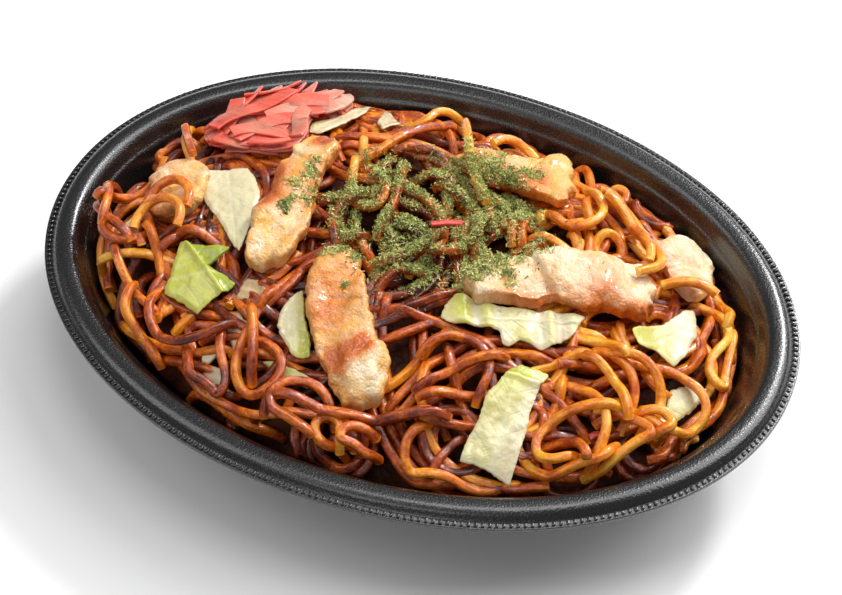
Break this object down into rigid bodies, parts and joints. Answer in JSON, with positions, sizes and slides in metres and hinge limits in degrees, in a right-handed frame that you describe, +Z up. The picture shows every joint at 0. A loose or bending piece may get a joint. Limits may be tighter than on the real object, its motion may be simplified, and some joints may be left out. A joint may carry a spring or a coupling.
{
  "type": "yakisoba in an oval foam tray",
  "caption": "Fried noodles heaped in an oval black foam tray, topped with sliced pork, cabbage, green laver flakes and red pickled ginger; a plated takeaway dish for table scenes.",
  "frame": {"origin": "centre of the tray's underside, on the surface it stands on", "axes": "+X along the long axis of the oval, +Y across it, +Z up"},
  "size_m": [0.24, 0.176, 0.0596],
  "materials": {
    "black_foam": "black foamed polystyrene sheet, glossy, finely dimpled",
    "fried_noodles": "thick wheat noodles glazed with brown sauce, oily sheen",
    "browned_pork": "fried pork slices, golden to cream, moist",
    "cabbage_leaf": "cooked cabbage leaf, pale and slightly translucent",
    "pickled_ginger": "red pickled ginger shreds, wet"
  },
  "bodies": {
    "root": {"tray": "black_foam", "noodles": "fried_noodles", "pork_left": "browned_pork", "pork_ginger_side": "browned_pork", "pork_front": "browned_pork", "pork_back": "browned_pork", "pork_long": "browned_pork", "pork_right": "browned_pork", "cabbage_white": "cabbage_leaf", "cabbage_green": "cabbage_leaf", "cabbage_behind_pork": "cabbage_leaf", "cabbage_clear_a": "cabbage_leaf", "cabbage_clear_b": "cabbage_leaf", "cabbage_strip": "cabbage_leaf", "cabbage_long": "cabbage_leaf", "cabbage_under_pork": "cabbage_leaf", "cabbage_right": "cabbage_leaf", "cabbage_yellow": "cabbage_leaf", "cabbage_tip": "cabbage_leaf", "cabbage_low_right": "cabbage_leaf", "cabbage_low_left": "cabbage_leaf", "cabbage_bit_a": "cabbage_leaf", "cabbage_bit_b": "cabbage_leaf", "red_ginger": "pickled_ginger", "ginger_strip": "pickled_ginger", "ginger_crumb": "pickled_ginger"}
  },
  "joints": []
}
